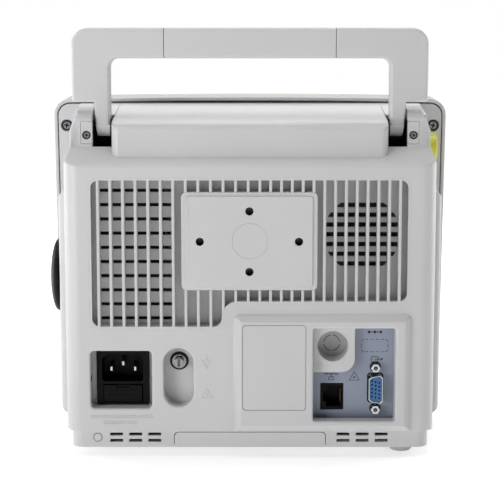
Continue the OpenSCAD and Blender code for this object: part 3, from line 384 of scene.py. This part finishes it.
def solid(bm, outline, lift):
    """A filled flat shape with that outline, raised by lift."""
    low = [bm.verts.new(lift(x, z, 0)) for x, z in outline]
    high = [bm.verts.new(lift(x, z, 1)) for x, z in outline]
    bm.faces.new(low)
    bm.faces.new(high[::-1])
    for i in range(len(outline)):
        j = (i + 1) % len(outline)
        bm.faces.new((low[i], low[j], high[j], high[i]))


def circle(c, r, n=32, start=0, turn=360):
    """Points of a circle of n sides round c, or of an arc of turn degrees from start."""
    whole = n if turn == 360 else n + 1
    return [(c[0] + r * math.cos(math.radians(start + turn * i / n)),
             c[1] + r * math.sin(math.radians(start + turn * i / n))) for i in range(whole)]


def rounded_box(x0, x1, z0, z1, r, n=4):
    """Outline of a rectangle whose corners have the radius r, in n steps each."""
    corners = ((x1 - r, z1 - r), (x0 + r, z1 - r), (x0 + r, z0 + r), (x1 - r, z0 + r))
    return [point for i, c in enumerate(corners) for point in circle(c, r, n, 90 * i, 90)]


def boxes_piece(name, boxes, material, body):
    """One piece made of plain blocks, each given by its lowest and highest corners in mm."""
    bm = bmesh.new()
    for low, high in boxes:
        middle = [(a + b) / 2 * MM for a, b in zip(low, high)]
        cube = bmesh.ops.create_cube(bm, size=1.0)["verts"]
        bmesh.ops.scale(bm, verts=cube, vec=[(b - a) * MM for a, b in zip(low, high)])
        bmesh.ops.translate(bm, verts=cube, vec=middle)
    finish_piece(name, bm, material, body)


def on_rear(y, height):
    """Lift for shapes drawn in X and Z on a face that looks to the rear, in mm."""
    return lambda x, z, up: Vector((x, y + height * up, z)) * MM


def on_front(y, height):
    """The same on a face that looks to the front."""
    return lambda x, z, up: Vector((x, y - height * up, z)) * MM


def on_left(x0, height):
    """The same on a face that looks to -X, drawn in Y and Z."""
    return lambda y, z, up: Vector((x0 - height * up, y, z)) * MM


def lo(node):
    """The lowest corner of a node's box, in mm."""
    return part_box(node)[0] / MM


def hi(node):
    """The highest corner of a node's box, in mm."""
    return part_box(node)[1] / MM


# ---------- raised and printed marks on the rear ----------
rear_y = hi("vent_grille").y
label_y = hi("connector_panel").y
EMBOSS = 0.3  # height of a raised mark, with SINK of it in the surface
SINK = 0.05
PRINT = 0.06  # thickness of a printed mark, with PRINT_SINK of it in the surface
PRINT_SINK = 0.01


def rear_marks():
    """Two plain raised signs beside the earth stud, and two rows of blank bars under the mains inlet."""
    lift = on_rear(rear_y - SINK, EMBOSS)
    x = 25.3
    bm = bmesh.new()
    ribbon(bm, [(x, 60.8), (x, 58.0)], 0.55, lift)
    ribbon(bm, circle((x, 56.2), 1.55, 24), 0.5, lift, closed=True)
    ribbon(bm, [(x + 3.1, 58.0), (x, 52.4), (x - 3.1, 58.0)], 0.5, lift)
    ribbon(bm, [(x + 3.3, 34.8), (x, 40.4), (x - 3.3, 34.8)], 0.55, lift, closed=True)
    solid(bm, circle((x, 36.7), 0.75, 16), lift)
    finish_piece("raised_signs", bm, case, "monitor", 0.1)

    bar_widths, gap, wide_gap = (1.2, 1.6, 0.9, 1.4, 2.1), 0.75, 1.6
    bm = bmesh.new()
    for x, x_end, z, tall in ((92.9, 57.6, 23.7, 1.5), (85.4, 66.0, 20.2, 1.6)):
        step = 0
        while x > x_end:
            wide = min(bar_widths[step % len(bar_widths)], x - x_end + 0.6)
            bar = rounded_box(x - wide, x, z - tall / 2, z + tall / 2, 0.25, 2)
            ribbon(bm, bar, 0.3, lift, closed=True)
            x -= wide + (wide_gap if step % 6 == 5 else gap)
            step += 1
    finish_piece("raised_blank_lines", bm, case, "monitor")


def plate_ring():
    """The raised circle in the middle of the mounting plate."""
    low, high = lo("mount_plate"), hi("mount_plate")
    c = ((low.x + high.x) / 2, (low.z + high.z) / 2)
    bm = bmesh.new()
    ribbon(bm, circle(c, 10.3, 64), 0.5, on_rear(high.y - SINK, 0.32), closed=True)
    finish_piece("plate_centre_ring", bm, case, "monitor", 0.08)


def label_marks():
    """Blank printed signs on the connector label: plain outlines and dots, with no known mark."""
    lift = on_rear(label_y - PRINT_SINK, PRINT)
    bm = bmesh.new()
    # Three dots on a line, over the blanked-off port
    x, z = -73.0, 72.6
    ribbon(bm, [(x + 3.6, z), (x - 3.6, z)], 0.5, lift)
    for dx in (3.4, 0.0, -3.5):
        solid(bm, circle((x + dx, z), 0.85, 16), lift)
    # Dashed outline of the port, whose corners are unbroken
    outline = rounded_box(-80.7, -65.3, 60.8, 68.2, 1.6, 6)
    for start, end in zip(outline, outline[1:] + outline[:1]):
        a, b = Vector(start), Vector(end)
        span = (b - a).length
        if span < 2:
            ribbon(bm, [a, b], 0.32, lift)
            continue
        dashes = max(1, round(span / 3.1))
        for k in range(dashes):
            dash = [a.lerp(b, (k + part) / dashes) for part in (0.22, 0.78)]
            ribbon(bm, dash, 0.32, lift)
    # Screen with an arrow leaving it
    x, z = -73.0, 56.4
    ribbon(bm, rounded_box(x - 2, x + 2, z - 1.7, z + 1.6, 0.7), 0.36, lift, closed=True)
    ribbon(bm, [(x - 0.2, z), (x - 4, z)], 0.36, lift)
    solid(bm, [(x - 3.6, z + 0.8), (x - 5.1, z), (x - 3.6, z - 0.8)], lift)
    ribbon(bm, [(x - 1.4, z - 2.4), (x + 1.4, z - 2.4)], 0.4, lift)
    # Triangle with a dot
    x, z = -61.2, 43.8
    ribbon(bm, [(x + 2.9, z), (x, z + 5), (x - 2.9, z)], 0.36, lift, closed=True)
    solid(bm, circle((x, z + 1.7), 0.6, 12), lift)
    # Three boxes joined to one, over the network jack
    x, z = -47.7, 47.6
    ribbon(bm, [(x + 3.7, z), (x - 3.7, z)], 0.34, lift)
    ribbon(bm, [(x, z), (x, z - 1.8)], 0.34, lift)
    for box_x in (x + 3.1, x, x - 3.1):
        ribbon(bm, rounded_box(box_x - 0.9, box_x + 0.9, z - 0.3, z + 1.3, 0.2, 1), 0.28, lift, closed=True)
    ribbon(bm, rounded_box(x - 1.5, x + 1.5, z - 3.6, z - 1.8, 0.3, 2), 0.34, lift, closed=True)
    finish_piece("label_signs", bm, ink_and_gap_shade, "monitor")


def aux_marks():
    """Dashed circle on the floor of the auxiliary port, and a raised sign beside its mouth."""
    bore = next(m for m in frame["record"]["mounts"] if m["name"] == "aux_port")
    x, y, z = (v / MM for v in bore["pos_m"])
    floor_y = y - bore["dims"]["length_mm"]
    bm = bmesh.new()
    for start in (8, 98, 188, 278):
        arc = circle((x, z - 0.9), 4.65, 14, start, 74)
        ribbon(bm, arc, 0.45, on_rear(floor_y - PRINT_SINK, 0.08))
    finish_piece("aux_port_dashes", bm, ink_and_gap_shade, "monitor")

    x, z = -40.6, 53.5
    lift = on_rear(hi("aux_port_boss").y - SINK, 0.25)
    bm = bmesh.new()
    ribbon(bm, circle((x, z), 2.2, 28), 0.35, lift, closed=True)
    ribbon(bm, circle((x, z), 1.1, 20), 0.35, lift, closed=True)
    ribbon(bm, [(x - 2.6, z), (x - 4.8, z)], 0.35, lift)
    solid(bm, [(x - 4.3, z + 0.8), (x - 5.6, z), (x - 4.3, z - 0.8)], lift)
    finish_piece("aux_port_sign", bm, case, "monitor", 0.08)


def inlet_marks():
    """Fuse sign between two finger grips on the drawer, and two black patches on the inlet's side walls,
    painted shade for small holes there.
    """
    lift = on_rear(hi("fuse_drawer").y - SINK, 0.25)
    bm = bmesh.new()
    ribbon(bm, rounded_box(71.4, 79.2, 35.0, 37.3, 0.3, 2), 0.3, lift, closed=True)
    for x in (67.5, 79.8):
        ribbon(bm, rounded_box(x, x + 3.4, 34.4, 37.9, 0.9), 0.3, lift, closed=True)
    finish_piece("fuse_sign", bm, materials["inlet_black"], "fuse_drawer", 0.08)

    # Painted shade: thin black plates on the inlet's side walls where small holes look dark.
    boxes = []
    for x0, x1 in ((92.48, 92.78), (57.22, 57.52)):
        boxes.append(((x0, 51.2, 44.2), (x1, 52.6, 47.4)))
    boxes_piece("inlet_wall_hole_shade", boxes, shadow_black, "monitor")


def plinth_plug():
    """Sealing plug beside the louvres: a disc in a black ring, painted shade for the gap round it."""
    c, y = (89.2, 11.0), hi("battery_door").y
    bm = bmesh.new()
    solid(bm, circle(c, 2.2, 32), on_rear(y - SINK, 0.2))
    finish_piece("plinth_plug", bm, case, "monitor", 0.1)
    # Painted shade: a black ring in the gap round the plug.
    bm = bmesh.new()
    ribbon(bm, circle(c, 2.5, 40), 0.34, on_rear(y - SINK, 0.09), closed=True)
    finish_piece("plinth_plug_gap_shade", bm, ink_and_gap_shade, "monitor")


def solid_boxes(node):
    """The box in mm of each separate solid of a node."""
    bm = bmesh.new()
    bm.from_mesh(nodes[node].data)
    bmesh.ops.remove_doubles(bm, verts=bm.verts, dist=0.002 * MM)
    boxes, seen = [], set()
    for first in bm.verts:
        if first in seen:
            continue
        seen.add(first)
        group, queue = [], [first]
        while queue:
            vert = queue.pop()
            group.append(vert.co.copy() / MM)
            for edge in vert.link_edges:
                other = edge.other_vert(vert)
                if other not in seen:
                    seen.add(other)
                    queue.append(other)
        boxes.append(tuple(Vector(pick(p[k] for p in group) for k in range(3)) for pick in (min, max)))
    bm.free()
    return boxes


def screw_head_shade():
    """Painted shade on each screw head: a black ring where it sits in its recess, and a black cross in its
    cross recess.
    """
    for i, (low, high) in enumerate(solid_boxes("case_screws")):
        c, r = ((low.x + high.x) / 2, (low.z + high.z) / 2), (high.x - low.x) / 2
        bm = bmesh.new()
        lift = on_rear(high.y - 0.02, 0.08)
        ribbon(bm, circle(c, r * 0.84, 40), r * 0.32, lift, closed=True)
        for turn in (20, 110):
            a, b = circle(c, r * 0.5, 2, turn, 360)
            ribbon(bm, [a, b], r * 0.24, lift)
        finish_piece(f"screw_recess_shade_{i + 1}", bm, shadow_black, "monitor")


def handle_slot_shade():
    """Thin black pads, painted shade, that line the two slots the handle turns in, placed from its bushes
    and grip.
    """
    bush_x, floor_z = hi("handle_bushes").x, lo("handle_bushes").z - 14.5
    hood_x, ear_x = bush_x - 9.0, bush_x + 2.5
    front_y, rear_end_y = lo("handle_grip").y - 0.5, lo("handle_grip").y + 16.9
    gap, thick = 0.03, 0.1  # from the slot's wall to the pad, and to its inner face
    boxes = []
    for side in (1, -1):
        for x0, x1, y0, y1, z0, z1 in (
            (hood_x + gap, ear_x - gap, front_y + gap, rear_end_y, floor_z + 0.02, floor_z + thick),
            (hood_x + gap, ear_x - gap, front_y + gap, front_y + thick, floor_z + thick, floor_z + 22.0),
            (hood_x + gap, hood_x + thick, front_y + thick, rear_end_y, floor_z + thick, floor_z + 16.5),
            (ear_x - thick, ear_x - gap, front_y + thick, rear_end_y, floor_z + thick, floor_z + 21.5),
        ):
            xs = sorted((side * x0, side * x1))
            boxes.append(((xs[0], y0, z0), (xs[1], y1, z1)))
    boxes_piece("handle_slot_shade", boxes, shadow_black, "monitor")


def front_marks():
    """Screen area, and plain signs on the keys and the power button."""
    low, high = lo("screen_lens"), hi("screen_lens")
    bm = bmesh.new()
    outline = rounded_box(low.x + 13, high.x - 13, low.z + 11, high.z - 11, 1.0)
    solid(bm, outline, on_front(low.y + PRINT_SINK, 0.03))
    finish_piece("screen_area", bm, screen_area, "monitor")

    def sign(node, draw):
        corner, far = lo(node), hi(node)
        bm = bmesh.new()
        draw(bm, (corner.x + far.x) / 2, (corner.z + far.z) / 2, on_front(corner.y + 0.03, 0.05))
        finish_piece(f"{node}_sign", bm, icon_ink, node)

    def alarm(bm, x, z, lift):
        ribbon(bm, [(x - 2.6, z - 2), (x + 2.6, z - 2), (x, z + 2.6)], 0.5, lift, closed=True)

    def pause(bm, x, z, lift):
        for dx in (-1.1, 1.1):
            solid(bm, rounded_box(x + dx - 0.5, x + dx + 0.5, z - 2.3, z + 2.3, 0.2, 1), lift)

    def cuff(bm, x, z, lift):
        ribbon(bm, rounded_box(x - 2.8, x + 2.8, z - 1.8, z + 1.8, 1.2), 0.5, lift, closed=True)
        ribbon(bm, [(x, z - 1.8), (x, z + 1.8)], 0.4, lift)

    def record_strip(bm, x, z, lift):
        wave = ((-3, 0), (-1.2, 0), (-0.3, 2.2), (0.8, -2), (1.5, 0), (3, 0))
        ribbon(bm, [(x + dx, z + dz) for dx, dz in wave], 0.45, lift)

    def menu(bm, x, z, lift):
        for dz in (-1.8, 0, 1.8):
            solid(bm, rounded_box(x - 2.6, x + 2.6, z + dz - 0.3, z + dz + 0.3, 0.15, 1), lift)

    def power(bm, x, z, lift):
        ribbon(bm, circle((x, z), 2.6, 28, 120, 300), 0.5, lift)
        ribbon(bm, [(x, z + 0.4), (x, z + 3.4)], 0.5, lift)

    for i, draw in enumerate((alarm, pause, cuff, record_strip, menu)):
        sign(f"key_{i + 1}", draw)
    sign("power_button", power)


def side_marks():
    """Printed rings round the sockets in the side pocket."""
    floor_x = lo("socket_panel").x + 6.7  # the pocket's floor
    bm = bmesh.new()
    for node in ("sensor_sockets", "cuff_port", "temperature_sockets"):
        for low, high in solid_boxes(node):
            c, r = ((low.y + high.y) / 2, (low.z + high.z) / 2), (high.z - low.z) / 2
            if r > 2:
                ribbon(bm, circle(c, r + 1.5, 40), 0.4, on_left(floor_x + PRINT_SINK, 0.05), closed=True)
    finish_piece("socket_rings", bm, ink_and_gap_shade, "monitor")


def network_contacts():
    """Eight contact wires along the jack's wall."""
    low, high = lo("network_jack"), hi("network_jack")
    middle, pitch = (low.z + high.z) / 2, 1.02
    boxes = []
    for k in range(8):
        z = middle + (k - 3.5) * pitch
        boxes.append(((low.x + 1.47, high.y - 11, z - 0.2), (low.x + 1.8, high.y - 2.2, z + 0.2)))
    boxes_piece("network_contacts", boxes, gold, "monitor")


def painted_shade_rings():
    """Painted shade: black linings of the mounting holes, a black ring round the earth stud in its well,
    and black rings in the gaps round the video socket.
    """
    low, high = lo("mount_plate"), hi("mount_plate")
    middle = ((low.x + high.x) / 2, (low.z + high.z) / 2)
    bm = bmesh.new()
    for mount in frame["record"]["mounts"]:
        if mount["name"] not in ("rear_mount_across", "rear_mount_upright"):
            continue
        dims = mount["dims"]
        dx, dz = dims.get("spacing_x_mm", 0) / 2, dims.get("spacing_y_mm", 0) / 2
        for side in (-1, 1):
            c = (middle[0] + side * dx, middle[1] + side * dz)
            # Painted shade: a black lining round the wall of each mounting hole.
            hole_shade_ring = circle(c, dims["hole_r_mm"] - 0.06, 32)
            ribbon(bm, hole_shade_ring, 0.08, on_rear(high.y - 4.9, 4.8), closed=True)
    finish_piece("mount_hole_shade_rings", bm, shadow_black, "monitor")

    low, high = lo("earth_stud"), hi("earth_stud")
    c = ((low.x + high.x) / 2, (low.z + high.z) / 2)
    bm = bmesh.new()
    # Painted shade: a black ring round the earth stud on the floor of its well.
    ribbon(bm, circle(c, 4.9, 40), 1.2, on_rear(rear_y - 10, 0.3), closed=True)
    finish_piece("earth_well_shade", bm, shadow_black, "monitor")

    low, high = lo("video_insulator"), hi("video_insulator")
    c = ((low.x + high.x) / 2, (low.z + high.z) / 2)
    screws = next(m for m in frame["record"]["mounts"] if m["name"] == "video_jackscrew_holes")
    lift = on_rear(label_y - PRINT_SINK, 0.07)
    bm = bmesh.new()
    # Painted shade: black rings in the gaps round the video socket's shell and round its jackscrews.
    outline = rounded_box(low.x - 0.8, high.x + 0.8, low.z - 0.8, high.z + 0.8, 1.6)
    ribbon(bm, outline, 0.9, lift, closed=True)
    for side in (-1, 1):
        at = (c[0], c[1] + side * screws["dims"]["spacing_y_mm"] / 2)
        ribbon(bm, circle(at, 2.9, 32), 0.8, lift, closed=True)
    finish_piece("video_socket_gap_shade", bm, shadow_black, "monitor")


rear_marks()
plate_ring()
painted_shade_rings()
screw_head_shade()
label_marks()
aux_marks()
inlet_marks()
plinth_plug()
handle_slot_shade()
front_marks()
side_marks()
network_contacts()


# ---------- studio ----------
def studio():
    """White behind everything, softboxes round the monitor, and a pale floor."""
    world = bpy.data.worlds.new("studio")
    scene.world = world
    world.use_nodes = True
    tree = world.node_tree
    tree.nodes.clear()
    out = add(tree, "ShaderNodeOutputWorld")
    seen, lit = add(tree, "ShaderNodeBackground"), add(tree, "ShaderNodeBackground")
    seen.inputs["Color"].default_value = (1, 1, 1, 1)
    lit.inputs["Color"].default_value = (0.93, 0.95, 1.0, 1)
    lit.inputs["Strength"].default_value = 0.06
    mix, path = add(tree, "ShaderNodeMixShader"), add(tree, "ShaderNodeLightPath")
    tree.links.new(path.outputs["Is Camera Ray"], mix.inputs[0])
    tree.links.new(lit.outputs[0], mix.inputs[1])
    tree.links.new(seen.outputs[0], mix.inputs[2])
    tree.links.new(mix.outputs[0], out.inputs["Surface"])

    def softbox(name, at, size, power):
        data = bpy.data.lights.new(name, "AREA")
        data.shape, data.size, data.size_y, data.energy = "RECTANGLE", size[0], size[1], power
        lamp = bpy.data.objects.new(name, data)
        lamp.location = at
        lamp.rotation_euler = (Vector((0, 0, 0.12)) - Vector(at)).to_track_quat("-Z", "Y").to_euler()
        scene.collection.objects.link(lamp)

    for name, at, size, power in (
        ("key_left", (0.65, 0.75, 0.40), (0.4, 0.9), 2.0),
        ("low_left", (0.70, 0.75, 0.12), (0.4, 0.3), 2.3),
        ("overhead", (0.0, 0.05, 0.95), (0.9, 0.5), 4.1),
        ("overhead_rear", (0.0, 0.70, 0.95), (0.9, 0.5), 0.5),
        ("back_top", (0.0, -0.90, 0.75), (1.2, 0.4), 5.0),
        ("back_left", (0.95, -0.35, 0.35), (0.5, 0.9), 5.0),
        ("back_right", (-0.95, -0.35, 0.35), (0.5, 0.9), 5.2),
    ):
        softbox(name, at, size, power)

    bm = bmesh.new()
    bmesh.ops.create_grid(bm, x_segments=8, y_segments=8, size=4.0)
    mesh = bpy.data.meshes.new("floor")
    bm.to_mesh(mesh)
    bm.free()
    floor = bpy.data.objects.new("floor", mesh)
    floor.location.z = -0.0002
    scene.collection.objects.link(floor)
    material, tree, bsdf = shader("floor_pale", Roughness=0.6)
    paper = tint(tree, noise(tree, 2), (0.90, 0.90, 0.90), (0.92, 0.92, 0.92))
    tree.links.new(paper, bsdf.inputs["Base Color"])
    # The floor glows more with its distance, so that it runs into the white behind it
    bsdf.inputs["Emission Color"].default_value = (1, 1, 1, 1)
    place = add(tree, "ShaderNodeTexCoord")
    distance = add(tree, "ShaderNodeVectorMath", operation="LENGTH")
    glow = add(tree, "ShaderNodeMapRange")
    for socket, value in (("From Min", 0.3), ("From Max", 0.9), ("To Min", 0.42), ("To Max", 1.0)):
        glow.inputs[socket].default_value = value
    tree.links.new(place.outputs["Object"], distance.inputs[0])
    tree.links.new(distance.outputs["Value"], glow.inputs["Value"])
    tree.links.new(glow.outputs["Result"], bsdf.inputs["Emission Strength"])
    mesh.materials.append(material)


def camera():
    """Behind the monitor and a little above it, looking down by 9 degrees."""
    data = bpy.data.cameras.new("camera")
    data.lens, data.sensor_width = 118.94, 36
    view = bpy.data.objects.new("camera", data)
    view.location = (0, 0.9943, 0.2710)
    view.rotation_euler = (math.radians(81), 0, math.radians(180))
    scene.collection.objects.link(view)
    scene.camera = view


studio()
camera()
